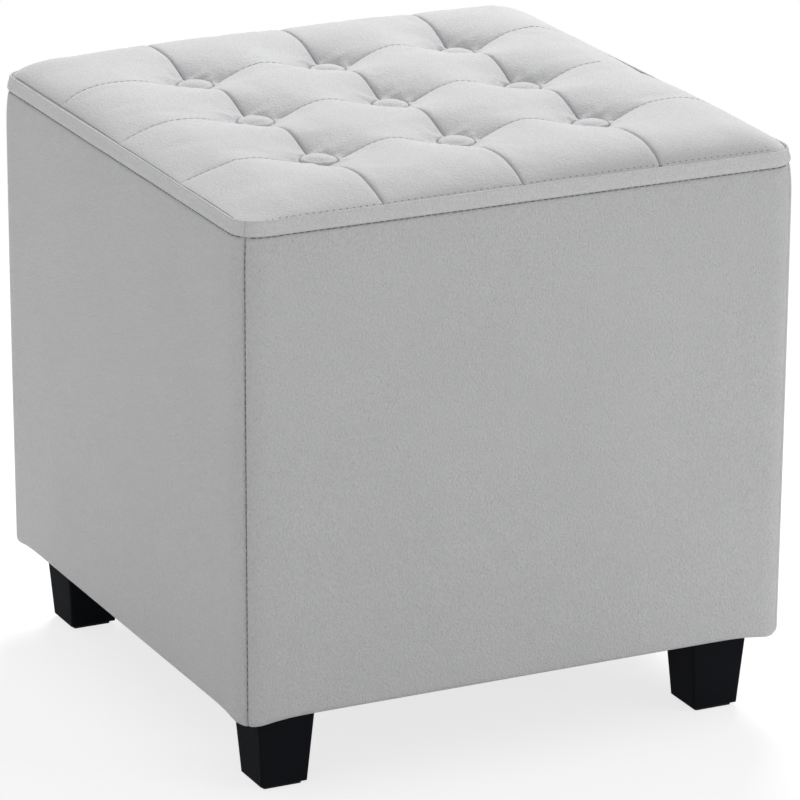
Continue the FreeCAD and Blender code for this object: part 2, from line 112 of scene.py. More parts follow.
class Net:
    """The nodes of a material or of the world."""

    def __init__(self, tree: bpy.types.NodeTree) -> None:
        """Empty the tree and keep it."""
        tree.nodes.clear()
        self.tree = tree

    def node(self, kind: str, settings: dict[str, object], inputs: Inputs) -> bpy.types.Node:
        """Add one node.

        Args:
            kind: The node's type.
            settings: The node's own settings. Under "stops" a ramp's places and grey levels.
            inputs: Values or signals of its sockets, by name or number.

        Returns:
            The new node.
        """
        made = self.tree.nodes.new(kind)
        for name, value in settings.items():
            if name == "stops":
                self._set_stops(made.color_ramp, value)
            else:
                setattr(made, name, value)
        for name, value in inputs.items():
            if isinstance(value, Signal):
                self.tree.links.new(value.socket, made.inputs[name])
            else:
                made.inputs[name].default_value = value
        return made

    def _set_stops(self, ramp: bpy.types.ColorRamp, stops: Sequence[tuple[float, float]]) -> None:
        """Give a ramp its places and grey levels."""
        while len(ramp.elements) < len(stops):
            ramp.elements.new(1.0)
        for element, (place, level) in zip(ramp.elements, stops):
            element.position = place
            element.color = (level, level, level, 1.0)

    def signal(
        self, kind: str, settings: dict[str, object], inputs: Inputs, output: str | int = 0
    ) -> Signal:
        """Add one node and take one of its outputs.

        Args:
            kind: The node's type.
            settings: The node's own settings.
            inputs: Values or signals of its sockets.
            output: The name or number of the output.

        Returns:
            The output as a signal.
        """
        return Signal(self, self.node(kind, settings, inputs).outputs[output])

    def maths(self, operation: str, *values: Signal | float) -> Signal:
        """Add a Math node on its values."""
        return self.signal("ShaderNodeMath", {"operation": operation}, dict(enumerate(values)))

    def place(self) -> Signal:
        """A point's place in the frame, in metres."""
        return self.signal("ShaderNodeTexCoord", {}, {}, "Object")

    def stretched(self, scale: Place) -> Signal:
        """The point's place, each axis multiplied by its scale."""
        return self.signal("ShaderNodeVectorMath", {"operation": "MULTIPLY"}, {0: self.place(), 1: scale})

    def noise(self, scale: float, detail: float, rough: float = 0.5, at: Signal | None = None) -> Signal:
        """Smooth noise from 0 to 1.

        Args:
            scale: Lumps to a metre, about.
            detail: How many finer layers it has.
            rough: How strong the finer layers are.
            at: The point, where it isn't the place in the frame.

        Returns:
            The noise's value.
        """
        inputs = {"Vector": at or self.place(), "Scale": scale, "Detail": detail, "Roughness": rough}
        return self.signal("ShaderNodeTexNoise", {}, inputs)

    def cells(self, scale: float) -> Signal:
        """Distance from the middle of small rounded cells, about so many to a metre."""
        inputs = {"Vector": self.place(), "Scale": scale}
        return self.signal("ShaderNodeTexVoronoi", {"feature": "F1"}, inputs, "Distance")

    def bands(self, direction: str, at: Signal, scale: float, distortion: float) -> Signal:
        """Parallel bands from 0 to 1.

        Args:
            direction: The axis that they cross, or DIAGONAL.
            at: The point.
            scale: How close together they are.
            distortion: How wavy they are.

        Returns:
            The bands' value.
        """
        settings = {"wave_type": "BANDS", "bands_direction": direction}
        inputs = {"Vector": at, "Scale": scale, "Distortion": distortion}
        return self.signal("ShaderNodeTexWave", settings, inputs, "Fac")

    def blend(self, share: Signal | float, first: Signal | Colour, second: Signal | Colour) -> Signal:
        """Mix two colours.

        Args:
            share: How much of the second colour, from 0 to 1.
            first: The first colour.
            second: The second colour.

        Returns:
            The mixed colour.
        """
        settings = {"data_type": "RGBA", "blend_type": "MIX"}
        first, second = (c if isinstance(c, Signal) else (*c, 1.0) for c in (first, second))
        return self.signal("ShaderNodeMix", settings, {0: share, 6: first, 7: second}, 2)

    def bump(self, height: Signal, depth: float, strength: float) -> Signal:
        """Turn a height from 0 to 1 into a normal, for relief of a given depth in metres."""
        inputs = {"Height": height, "Distance": depth, "Strength": strength}
        return self.signal("ShaderNodeBump", {}, inputs)

    def ramp(self, value: Signal, *stops: tuple[float, float]) -> Signal:
        """Send a value through a ramp of grey levels."""
        grey = self.signal("ShaderNodeValToRGB", {"stops": stops}, {"Fac": value})
        return self.signal("ShaderNodeSeparateColor", {}, {"Color": grey})


def new_material(name: str) -> tuple[Material, Net]:
    """Make an empty material and the net of its nodes."""
    material = bpy.data.materials.new(name)
    material.use_nodes = True
    return material, Net(material.node_tree)


def darker(colour: Colour, share: float) -> Colour:
    """The colour with its light multiplied by share."""
    red, green, blue = colour
    return red * share, green * share, blue * share


class Finish:
    """A material of one Principled shader."""

    name: str

    def inputs(self, net: Net) -> Inputs:
        """The shader's inputs, which each finish works out for itself."""
        raise NotImplementedError

    def make(self) -> Material:
        """Build the material."""
        material, net = new_material(self.name)
        shader = net.signal("ShaderNodeBsdfPrincipled", {}, self.inputs(net))
        net.node("ShaderNodeOutputMaterial", {}, {"Surface": shader})
        return material


@dataclass(frozen=True)
class CoverFabric(Finish):
    """Pale suede-like cover cloth with a fine pebbled grain, painted shade in the grain's low spots, and
    short bright nap.
    """

    name: str = "cover_fabric"
    colour: Colour = (0.645, 0.645, 0.655)
    # Light left in the grain's low spots: painted shade of the pebbles.
    pit_shade_level: float = 0.85
    cloud_level: float = 0.97
    pebbles: float = 640.0
    pebble_depth: float = 0.9 * MM
    grain_share: float = 0.75
    weave_share: float = 0.3
    warp_share: float = 0.2
    pit_shade_share: float = 0.75
    nap: float = 0.25
    roughness: float = 0.88

    def inputs(self, net: Net) -> Inputs:
        """The shader's inputs."""
        warp = net.noise(420.0, 2.0)
        grain = net.noise(self.pebbles, 3.0, 0.62)
        weave = net.cells(self.pebbles * 1.25)
        height = (grain * self.grain_share + weave * self.weave_share + warp * self.warp_share).clipped()
        # The grain's low spots get a darker colour: painted shade in the pebbles' recesses.
        pit_shade = net.ramp(grain, (0.3, 1.0), (0.62, 0.0))
        clouds = net.ramp(net.noise(14.0, 3.0), (0.35, 0.0), (0.7, 1.0))
        base = net.blend(clouds, self.colour, darker(self.colour, self.cloud_level))
        colour = net.blend(pit_shade * self.pit_shade_share, base, darker(self.colour, self.pit_shade_level))
        return {
            "Base Color": colour,
            "Roughness": self.roughness - 0.1 * grain,
            "Sheen Weight": self.nap,
            "Sheen Roughness": 0.45,
            "Specular IOR Level": 0.25,
            "Normal": net.bump(height, self.pebble_depth, 0.8),
        }


@dataclass(frozen=True)
class Thread(Finish):
    """Twisted sewing thread or twine."""

    name: str
    colour: Colour
    twist: float = 1600.0
    depth: float = 0.08 * MM

    def inputs(self, net: Net) -> Inputs:
        """The shader's inputs."""
        strands = net.bands("DIAGONAL", net.stretched((1.0, 1.0, 1.6)), self.twist, 1.5)
        colour = net.blend(strands * 0.5, self.colour, darker(self.colour, 0.72))
        return {"Base Color": colour, "Roughness": 0.8, "Normal": net.bump(strands, self.depth, 0.6)}


@dataclass(frozen=True)
class Wood(Finish):
    """Bare wood with its grain along one axis."""

    name: str
    light: Colour
    dark: Colour
    grain: Place = (3.0, 60.0, 60.0)
    ply: float = 0.0

    def inputs(self, net: Net) -> Inputs:
        """The shader's inputs. With ply above 0 level layers show, closer the higher ply is."""
        streaks = net.noise(4.0, 6.0, 0.6, net.stretched(self.grain))
        pores = net.noise(40.0, 3.0, 0.6, net.stretched(self.grain))
        tone = net.ramp(streaks, (0.32, 0.0), (0.68, 1.0))
        if self.ply:
            layers = net.bands("Z", net.place(), self.ply, 0.4)
            tone = (tone * 0.8 + layers * 0.2).clipped()
        colour = net.blend(tone, self.light, self.dark)
        rough = 0.62 + 0.2 * pores
        return {"Base Color": colour, "Roughness": rough, "Normal": net.bump(pores, 0.2 * MM, 0.5)}


@dataclass(frozen=True)
class Moulding(Finish):
    """Moulded plastic or rubber with a finely textured skin."""

    name: str
    colour: Colour
    roughness: float
    specular: float
    skin: float = 1500.0
    skin_depth: float = 0.05 * MM
    scuff: float = 0.002

    def inputs(self, net: Net) -> Inputs:
        """The shader's inputs."""
        skin = net.noise(self.skin, 2.0, 0.5)
        smears = net.ramp(net.noise(35.0, 3.0), (0.35, 0.0), (0.75, 1.0))
        red, green, blue = self.colour
        scuffed = (red + self.scuff, green + self.scuff, blue + self.scuff)
        return {
            "Base Color": net.blend(smears * 0.6, self.colour, scuffed),
            "Roughness": self.roughness + 0.08 * smears,
            "Specular IOR Level": self.specular,
            "Normal": net.bump(skin, self.skin_depth, 0.5),
        }


@dataclass(frozen=True)
class Steel(Finish):
    """Zinc-plated steel with fine drawing marks."""

    name: str = "zinc_steel"
    colour: Colour = (0.62, 0.62, 0.6)
    roughness: float = 0.34

    def inputs(self, net: Net) -> Inputs:
        """The shader's inputs."""
        marks = net.noise(900.0, 2.0, 0.5, net.stretched((1.0, 1.0, 0.15)))
        tarnish = net.ramp(net.noise(120.0, 3.0), (0.4, 0.0), (0.75, 1.0))
        return {
            "Base Color": net.blend(tarnish * 0.4, self.colour, darker(self.colour, 0.8)),
            "Metallic": 1.0,
            "Roughness": self.roughness + 0.12 * marks,
            "Normal": net.bump(marks, 0.02 * MM, 0.4),
        }


@dataclass(frozen=True)
class DustCloth(Finish):
    """Black spunbonded cloth, pressed with small dots."""

    name: str = "dust_cloth"
    colour: Colour = (0.012, 0.012, 0.014)
    dots: float = 600.0

    def inputs(self, net: Net) -> Inputs:
        """The shader's inputs."""
        dots = net.ramp(net.cells(self.dots), (0.15, 0.0), (0.4, 1.0))
        fibres = net.noise(1400.0, 3.0, 0.6)
        colour = net.blend(fibres * 0.5 * dots, self.colour, (0.03, 0.03, 0.034))
        height = (dots * 0.7 + fibres * 0.3).clipped()
        return {"Base Color": colour, "Roughness": 0.9, "Normal": net.bump(height, 0.15 * MM, 0.5)}


def mesh_piece(name: str, verts: Points, faces: Sequence[Sequence[int]], material: Material) -> Piece:
    """Make a smooth mesh object from points and faces, its faces turned outwards.

    Args:
        name: The piece's name.
        verts: One row of x, y, z for each point.
        faces: The point numbers of each face.
        material: The finish of the whole piece.

    Returns:
        The new object.
    """
    mesh = bpy.data.meshes.new(name)
    mesh.from_pydata(np.asarray(verts, float).tolist(), [], [tuple(map(int, face)) for face in faces])
    work = bmesh.new()
    work.from_mesh(mesh)
    bmesh.ops.recalc_face_normals(work, faces=work.faces)
    for face in work.faces:
        face.smooth = True
    work.to_mesh(mesh)
    work.free()
    mesh.materials.append(material)
    made = bpy.data.objects.new(name, mesh)
    bpy.context.scene.collection.objects.link(made)
    return made


def lattice_faces(rows: int, columns: int, closed: bool = False) -> list[tuple[int, int, int, int]]:
    """Faces of a lattice of points, row by row.

    Args:
        rows: How many rows of points.
        columns: How many points in a row.
        closed: Whether the last row joins the first.

    Returns:
        The quads.
    """
    faces = []
    for row in range(rows if closed else rows - 1):
        here, there = row * columns, (row + 1) % rows * columns
        faces += [(here + i, here + i + 1, there + i + 1, there + i) for i in range(columns - 1)]
    return faces


def rim_of(count: int) -> Points:
    """Point numbers round the outside of a square lattice, in order."""
    numbers = np.arange(count * count).reshape(count, count)
    return np.concatenate([numbers[0], numbers[1:, -1], numbers[-1, -2::-1], numbers[-2:0:-1, 0]])


def wall_faces(ring: Points, other: Points) -> list[tuple[int, int, int, int]]:
    """Faces between two closed rings of as many point numbers."""
    return list(zip(ring, np.roll(ring, -1), np.roll(other, -1), other))


def points_at(x: Values, y: Values, z: Values) -> Points:
    """Points from their coordinates, each an array or one number for all of them."""
    return np.stack(np.broadcast_arrays(x, y, z), axis=1)


def side_places(end: float, near: Sequence[float], count: int) -> Points:
    """Places along a side, close together at its two corner seams.

    Args:
        end: Length from the side's middle to a corner seam.
        near: Distances of the close places from the seam, in millimetres.
        count: How many even places there are between, with the last close ones.

    Returns:
        The places, from one seam to the other.
    """
    close = np.array(near) * MM
    middle = np.linspace(-end + close[-1], end - close[-1], count)[1:-1]
    return np.concatenate([close - end, middle, end - close[::-1]])


def smooth_step(low: float, high: float, value: Values) -> Points:
    """0 at low, 1 at high, a smooth change between and no more beyond."""
    share = np.clip((value - low) / (high - low), 0.0, 1.0)
    return share * share * (3.0 - 2.0 * share)


def quarter_turned(verts: Points, quarter: int) -> Points:
    """The points turned by quarter turns about the upright axis."""
    x, y, z = verts.T
    for _ in range(quarter):
        x, y = -y, x
    return points_at(x, y, z)


def four_sides(name: str, rows: Sequence[Points], material: Material) -> list[tuple[str, Piece]]:
    """Make one closed strip along the front, and the same turned to the other three sides.

    Args:
        name: The pieces' name, before the side's.
        rows: Rows of points round the strip's closed section.
        material: Their finish.

    Returns:
        Each side's name and piece.
    """
    count, width = len(rows), len(rows[0])
    faces: list[Sequence[int]] = list(lattice_faces(count, width, closed=True))
    faces.append([row * width for row in range(count)])
    faces.append([row * width + width - 1 for row in range(count)])
    verts = np.concatenate(rows)
    LOG.info("%s: %d points each", name, len(verts))
    return [
        (side, mesh_piece(f"{name}_{side}", quarter_turned(verts, quarter), faces, material))
        for quarter, side in enumerate(SIDES)
    ]


def finish_piece(piece: Piece, slot: str, *nodes: str) -> Piece:
    """Put a piece on the root body and hide the nodes that it stands for."""
    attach(piece, "root")
    if nodes:
        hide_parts(*nodes)
    return piece


@dataclass
class Body:
    """Sizes of the upholstered body that its pieces share."""

    half: float = 200.0 * MM
    corner: float = 20.0 * MM
    z_hem: float = 58.8 * MM
    z_frame: float = 60.0 * MM
    z_seat: float = 354.3 * MM
    z_seam: float = 380.3 * MM
    seam_inset: float = 1.8 * MM

    def front_path(self, turn: Values, inset: Values) -> tuple[Points, Points]:
        """Points of the front side, taken in from the widest outline.

        Args:
            turn: Length along the side from its middle, up to the corner seams.
            inset: How far each point is taken in, less than the corner's radius.

        Returns:
            Their x and y.
        """
        flat = self.half - self.corner
        reach = np.abs(turn)
        angle = np.clip((reach - flat) / self.corner, 0.0, None)
        radius = self.corner - inset
        x = np.minimum(reach, flat) + radius * np.sin(angle)
        y = -flat - radius * np.cos(angle)
        return np.sign(turn) * x, y

    @property
    def half_run(self) -> float:
        """Length from the middle of a side to its corner seam."""
        return self.half - self.corner + self.corner * math.pi / 4


@dataclass
class SidePanels:
    """The four sewn side panels of the cover, each with its foam and its turned-under hem."""

    body: Body
    bulge_below: float = 25.0 * MM
    drawn_power: float = 2.2
    edge_inset: float = 1.5 * MM
    lean_power: float = 1.6
    roll_inset: float = 4.4 * MM
    roll_rise: float = 5.0 * MM
    roll_fullness: float = 1.6
    roll_low: float = 1.7 * MM
    seam_depth: float = 2.0 * MM
    seam_width: float = 0.9 * MM
    corner_droop: float = 3.6 * MM
    droop_width: float = 22.0 * MM
    droop_height: float = 70.0 * MM
    tuck_inset: float = 5.0 * MM
    tuck_below: float = 0.4 * MM
    foam_inset: float = 9.5 * MM
    hem_width: float = 30.0 * MM
    under_inset: float = 9.0 * MM
    waves: tuple[float, float] = (0.22 * MM, 0.18 * MM)
    settled: float = 0.35 * MM

    def inset(self, z: Points) -> Points:
        """How far the face lies inside the widest outline at a height."""
        body = self.body
        bulge_z = body.z_seam - self.bulge_below
        low_z = body.z_hem + self.roll_rise
        lean = self.edge_inset * np.clip((bulge_z - z) / (bulge_z - low_z), 0, 1) ** self.lean_power
        drawn = body.seam_inset * np.clip((z - bulge_z) / self.bulge_below, 0, 1) ** self.drawn_power
        tucked = self.seam_depth * np.exp(-(body.z_seam - z) / self.seam_width)
        turn = np.arcsin(np.clip((low_z - z) / self.roll_rise, 0, 1))
        rolled = (self.roll_inset - self.edge_inset) * (1 - np.cos(turn)) * self.roll_fullness
        return lean + drawn + tucked + rolled

    def face_levels(self) -> Points:
        """Heights of the face's rows, close together at the roll and at the seam."""
        body = self.body
        roll = body.z_hem + self.roll_rise * (1 - np.cos(np.linspace(0, math.pi / 2, 8)))
        top = body.z_seam - np.array([12, 8, 5.5, 4, 3, 2.2, 1.5, 0.9, 0.4, 0.0]) * MM
        middle = np.linspace(roll[-1], top[0], 60)[1:-1]
        return np.concatenate([roll, middle, top])

    def section(self, runs: Points) -> list[Points]:
        """Rows of points round the panel's closed section.

        Args:
            runs: Places along the side.

        Returns:
            The rows, from the hem's roll up the face and back down behind it.
        """
        body = self.body
        to_seam = body.half_run - np.abs(runs)
        crease = self.seam_depth * np.exp(-to_seam / self.seam_width)
        droop = self.roll_low + self.corner_droop * np.exp(-((to_seam / self.droop_width) ** 2))
        rows = []
        for z in self.face_levels():
            low = smooth_step(self.droop_height, 0.0, z - body.z_hem)
            x, y = body.front_path(runs, self.inset(z) + crease - self.plumpness(runs, z))
            rows.append(points_at(x, y, z - droop * low))
        x, y = body.front_path(runs, self.tuck_inset)
        rows.append(points_at(x, y, body.z_seam - self.tuck_below))
        foam, hem = body.half - self.foam_inset, body.half - self.hem_width
        for reach, z in ((foam, body.z_seat), (foam, body.z_frame), (hem, body.z_frame), (hem, body.z_hem)):
            rows.append(points_at(runs / body.half_run * reach, -reach, z))
        x, y = body.front_path(runs, self.under_inset)
        rows.append(points_at(x, y, body.z_hem - droop * 0.5))
        return rows

    def plumpness(self, runs: Points, z: float) -> Points:
        """How far the soft face stands out of its smooth line at one height."""
        body = self.body
        up = (z - body.z_hem) / (body.z_seam - body.z_hem)
        along = runs / body.half_run
        long_wave, short_wave = self.waves
        waves = long_wave * np.sin(5.1 * along + 2.0 * up)
        waves = waves + short_wave * np.sin(9.7 * along - 5.0 * up + 1.0)
        settled = self.settled * np.sin(math.pi * up) * (1 - along**2)
        calm = np.clip((1 - np.abs(along)) * 6, 0, 1)
        return (waves * math.sin(math.pi * min(max(up, 0.0), 1.0)) + settled) * calm

    def build(self, cloth: Material) -> None:
        """Make the four panels."""
        near = (0.0, 0.35, 0.8, 1.4, 2.2, 3.2, 4.5, 6, 8, 10.5, 13.5, 17, 21)
        rows = self.section(side_places(self.body.half_run, near, 82))
        for side, piece in four_sides("side_panel", rows, cloth):
            finish_piece(piece, "cover_fabric", f"side_cover_{side}", f"side_foam_{side}")


@dataclass
class Band:
    """The four strips of the band, with a rolled upper lip, joined at the corners."""

    body: Body
    join_depth: float = 0.8 * MM
    join_width: float = 0.8 * MM

    def profile(self) -> Points:
        """The strip's closed section, as how far in from the outline and how far above the seam."""
        outside = [(3.8, -0.5), (2.6, 0.0), (1.6, 0.7), (1.1, 1.7), (1.1, 3.0), (1.45, 4.6), (1.95, 6.2)]
        lip = [(2.3, 7.3), (2.45, 8.3), (2.5, 9.1), (2.8, 9.9), (3.3, 10.4), (3.8, 10.4), (4.1, 9.9)]
        inside = [(4.2, 9.2), (4.3, 8.1), (4.4, 6.5), (4.4, 3.0), (4.4, 0.0), (4.2, -0.5)]
        return np.array(outside + lip + inside) * MM

    def build(self, cloth: Material) -> None:
        """Make the four strips."""
        body = self.body
        near = (0.0, 0.3, 0.7, 1.2, 1.9, 2.8, 4, 6, 8.5, 11.5, 15, 19)
        runs = side_places(body.half_run, near, 110)
        crease = self.join_depth * np.exp(-(body.half_run - np.abs(runs)) / self.join_width)
        drawn = 0.12 * MM * np.sin(runs / (31 * MM)) + 0.08 * MM * np.sin(runs / (11 * MM) + 2)
        wave = 0.25 * MM * np.sin(runs / (47 * MM) + 1)
        rows = []
        for inset, rise in self.profile():
            outer = smooth_step(4.0 * MM, 2.0 * MM, inset)
            x, y = body.front_path(runs, inset + (crease + drawn) * outer)
            rows.append(points_at(x, y, body.z_seam + rise + wave * smooth_step(2 * MM, 9 * MM, rise)))
        for side, piece in four_sides("band", rows, cloth):
            finish_piece(piece, "cover_fabric", f"top_band_{side}")


@dataclass
class SwellingCloth:
    """A coarse sheet of the cover, blown up by simulation between its pinned seams."""

    axis: Points
    pressure: float = 4.0
    frames: int = 20
    cap: float = 6.0 * MM
    slack: float = 0.004
    quality: int = 6
    mass: float = 0.3
    stretch: float = 20.0
    shear: float = 8.0
    bend: float = 0.8

    def rise(self, height: Points, pinned: Points) -> Points:
        """Simulate the sheet.

        Args:
            height: Height of each point of the square grid before.
            pinned: How firmly each point is held, from 0 to 1.

        Returns:
            How far each point rises, with the cap as its greatest value.
        """
        count = len(self.axis)
        grid_x, grid_y = np.meshgrid(self.axis, self.axis)
        start = points_at(grid_x.ravel(), grid_y.ravel(), height.ravel())
        mesh = bpy.data.meshes.new("swelling_cloth")
        mesh.from_pydata(start.tolist(), [], lattice_faces(count, count))
        sheet = bpy.data.objects.new("swelling_cloth", mesh)
        bpy.context.scene.collection.objects.link(sheet)
        group = sheet.vertex_groups.new(name="pinned")
        for number, weight in enumerate(pinned.ravel()):
            group.add([number], float(weight), "REPLACE")
        settings = sheet.modifiers.new("cloth", "CLOTH").settings
        settings.quality = self.quality
        settings.mass = self.mass
        settings.tension_stiffness = self.stretch
        settings.compression_stiffness = self.stretch
        settings.shear_stiffness = self.shear
        settings.bending_stiffness = self.bend
        settings.shrink_min = -self.slack
        settings.use_pressure = True
        settings.uniform_pressure_force = self.pressure
        settings.vertex_group_mass = "pinned"
        settings.effector_weights.gravity = 0.0
        scene = bpy.context.scene
        for number in range(1, self.frames + 1):
            scene.frame_set(number)
        shaped = sheet.evaluated_get(bpy.context.evaluated_depsgraph_get()).to_mesh()
        after = np.empty(count * count * 3)
        shaped.vertices.foreach_get("co", after)
        bpy.data.objects.remove(sheet)
        bpy.data.meshes.remove(mesh)
        scene.frame_set(1)
        risen = after.reshape(-1, 3)[:, 2] - start[:, 2]
        return self.cap * np.tanh(risen / self.cap).reshape(count, count)

    def sampled(self, rise: Points, x: Points, y: Points) -> Points:
        """The rise at any places, on a smooth surface through the grid's points.

        Args:
            rise: The rise at each grid point.
            x: The places' x.
            y: The places' y.

        Returns:
            The smooth rise at each place.
        """
        columns, across = self._taps(x)
        rows, along = self._taps(y)
        total = np.zeros_like(x)
        for row, row_weight in zip(rows, along):
            for column, weight in zip(columns, across):
                total += rise[row, column] * row_weight * weight
        return total

    def _taps(self, places: Points) -> tuple[list[Points], list[Points]]:
        """Numbers and weights of the four grid lines round each place, for a cubic spline."""
        last = len(self.axis) - 1
        low = np.clip(np.searchsorted(self.axis, places, "right") - 1, 0, last - 1)
        t = np.clip((places - self.axis[low]) / (self.axis[low + 1] - self.axis[low]), 0, 1)
        weights = [(1 - t) ** 3, 3 * t**3 - 6 * t**2 + 4, -3 * t**3 + 3 * t**2 + 3 * t + 1, t**3]
        return [np.clip(low + step, 0, last) for step in (-1, 0, 1, 2)], [weight / 6 for weight in weights]


@dataclass
class TuftedTop:
    """The top cover with its foam: sixteen pillows, sewn seams and nine button pockets."""

    body: Body
    half: float = 195.5 * MM
    corner: float = 15.5 * MM
    spacing: float = 98.0 * MM
    outer_bay: float = 57.0 * MM
    valley: float = 23.0 * MM
    rise_right: float = 1.2 * MM
    rise_back: float = 1.0 * MM
    puff_across: float = 2.3 * MM
    puff_along: float = 1.0 * MM
    puff_before: float = 0.4
    swell_share: float = 0.7
    swell_power: float = 0.7
    outer_flat: float = 0.4
    corner_drop: float = 2.2 * MM
    edge: float = 8.6 * MM
    edge_roll: float = 38.0 * MM
    edge_bulge: float = 0.7
    edge_spread: float = 0.4
    front_roundness: Rows = (1.25, 1.7, 2.4)
    back_roundness: Rows = (3.0, 2.1, 1.5)
    left_roundness: Rows = (0.85, 1.35, 2.3)
    right_roundness: Rows = (1.8, 0.6, 1.0)
    mouth: float = 12.2 * MM
    mouth_r: float = 12.0 * MM
    funnel: float = 10.2 * MM
    gully_start: float = 6.0 * MM
    gully_at: float = 22.0 * MM
    gully_reach: float = 15.0 * MM
    gully_width: float = 9.0 * MM
    long_gully: float = 3.8 * MM
    cross_gully: float = 3.5 * MM
    button_seat: float = 10.8 * MM
    button_r: float = 12.0 * MM
    button_gap: float = 1.3 * MM
    button_hold: float = 5.0 * MM
    seam_hold: float = 0.9
    cross_hold: float = 0.8
    edge_hold: tuple[float, float] = (14.0 * MM, 5.0 * MM)
    rings_end: tuple[float, float] = (17.0 * MM, 30.0 * MM)
    seam_start: float = 11.0 * MM
    long_seam_depth: float = 1.3 * MM
    long_seam_width: float = 1.3 * MM
    cross_seam_depth: float = 0.35 * MM
    cross_seam_width: float = 1.2 * MM
    slit_depth: float = 2.6 * MM
    slit_width: float = 0.35 * MM
    pucker: float = 0.2 * MM
    pucker_start: float = 12.5 * MM
    pucker_full: float = 16.0 * MM
    pucker_fade: float = 7.0 * MM

    def __post_init__(self) -> None:
        ends = (-self.half, *self.lines(), self.half)
        spans = [np.linspace(a, b, 21)[:-1] for a, b in zip(ends, ends[1:])]
        self.cloth = SwellingCloth(np.concatenate([*spans, [self.half]]))
        self.swell = None
        grid_x, grid_y = np.meshgrid(self.cloth.axis, self.cloth.axis)
        start = self.pillows(grid_x, grid_y, self.puff_before)
        self.swell = self.cloth.rise(start, self.pinned(grid_x, grid_y))
        LOG.info("simulated swell: up to %.1f mm", self.swell.max() / MM)

    def pinned(self, x: Points, y: Points) -> Points:
        """How firmly the twine, the seams and the band hold each point of the cover."""
        from_x, from_y = self.off_lines(x), self.off_lines(y)
        radius = np.hypot(from_x, from_y)
        at_button = 1 - smooth_step(self.mouth_r, self.mouth_r + self.button_hold, radius)
        at_seam = self.seam_hold * np.maximum(np.abs(from_x) < MM, self.cross_hold * (np.abs(from_y) < MM))
        free, held = (self.half - width for width in self.edge_hold)
        at_edge = smooth_step(free, held, np.maximum(np.abs(x), np.abs(y)))
        return np.maximum(np.maximum(at_button, at_seam), at_edge)

    def lines(self) -> Rows:
        """Places of the three rows of buttons."""
        return -self.spacing, 0.0, self.spacing

    def button_places(self) -> list[tuple[float, float]]:
        """Centres of the nine buttons, front row first."""
        return [(x, y) for y in self.lines() for x in self.lines()]

    def axis(self) -> Points:
        """Grid places along one side, close together at the seams, the buttons and the edge."""
        fine = [0, 0.3, 0.65, 1.1, 1.7, 2.4, 3.2, 4.1, 5.1, 6.2, 7.4, 8.6, 9.8, 10.8, 11.6, 12.2, 12.7]
        fine += [13.2, 13.8, 14.6, 15.6, 16.8, 18.2, 19.9, 21.9, 24.1, 26.5, 29.1, 31.9, 34.7, 37.5]
        inner = np.array(fine + [40.3, 43.1, 46, 49]) * MM
        edge = self.half - self.spacing - np.array([11, 9, 7.2, 5.6, 4.2, 3, 2, 1.2, 0.5, 0]) * MM
        outer = np.linspace(inner[-1], edge[0], 13)[1:-1]
        right = self.spacing + np.concatenate([inner, outer, edge])
        positive = np.concatenate([inner[:-1], self.spacing - inner[::-1], right])
        return np.concatenate([-positive[:0:-1], positive])

    def rounded(self, x: Points, y: Points) -> tuple[Points, Points]:
        """Bend the square grid's corners into the outline's quarter circles."""
        flat = self.half - self.corner
        p = np.clip((np.abs(x) - flat) / self.corner, 0, 1)
        q = np.clip((np.abs(y) - flat) / self.corner, 0, 1)
        in_corner = (p > 0) & (q > 0)
        bent_x = np.sign(x) * (flat + self.corner * p * np.sqrt(1 - q * q / 2))
        bent_y = np.sign(y) * (flat + self.corner * q * np.sqrt(1 - p * p / 2))
        return np.where(in_corner, bent_x, x), np.where(in_corner, bent_y, y)

    def ringed(self, x: Points, y: Points) -> tuple[Points, Points]:
        """Bend the square grid into rings round each button."""
        near_x = np.clip(np.round(x / self.spacing), -1, 1) * self.spacing
        near_y = np.clip(np.round(y / self.spacing), -1, 1) * self.spacing
        p, q = x - near_x, y - near_y
        square = np.maximum(np.abs(p), np.abs(q))
        pull = square / np.maximum(np.hypot(p, q), 1e-9)
        pull = np.where(square < 1e-9, 1.0, pull)
        factor = 1 + (pull - 1) * (1 - smooth_step(*self.rings_end, square))
        return near_x + p * factor, near_y + q * factor

    def off_lines(self, along: Points) -> Points:
        """Signed distance from the nearest row of buttons."""
        return along - np.clip(np.round(along / self.spacing), -1, 1) * self.spacing

    def bay(self, along: Points) -> tuple[Points, Points, Points]:
        """Shape values along one axis.

        Args:
            along: Places along the axis.

        Returns:
            The pillow's swell, how far out into the outer bay, and the share of the way down the edge.
        """
        reach = np.abs(along)
        length = np.where(reach <= self.spacing, self.spacing / 2, self.outer_bay)
        share = np.clip(np.abs(self.off_lines(along)) / length, 0, 1)
        swell = np.sin(math.pi / 2 * share) ** self.swell_power
        roll_start = self.half - self.edge_roll
        out = smooth_step(self.spacing, roll_start, reach)
        return swell, out, np.clip((reach - roll_start) / self.edge_roll, 0, 1)

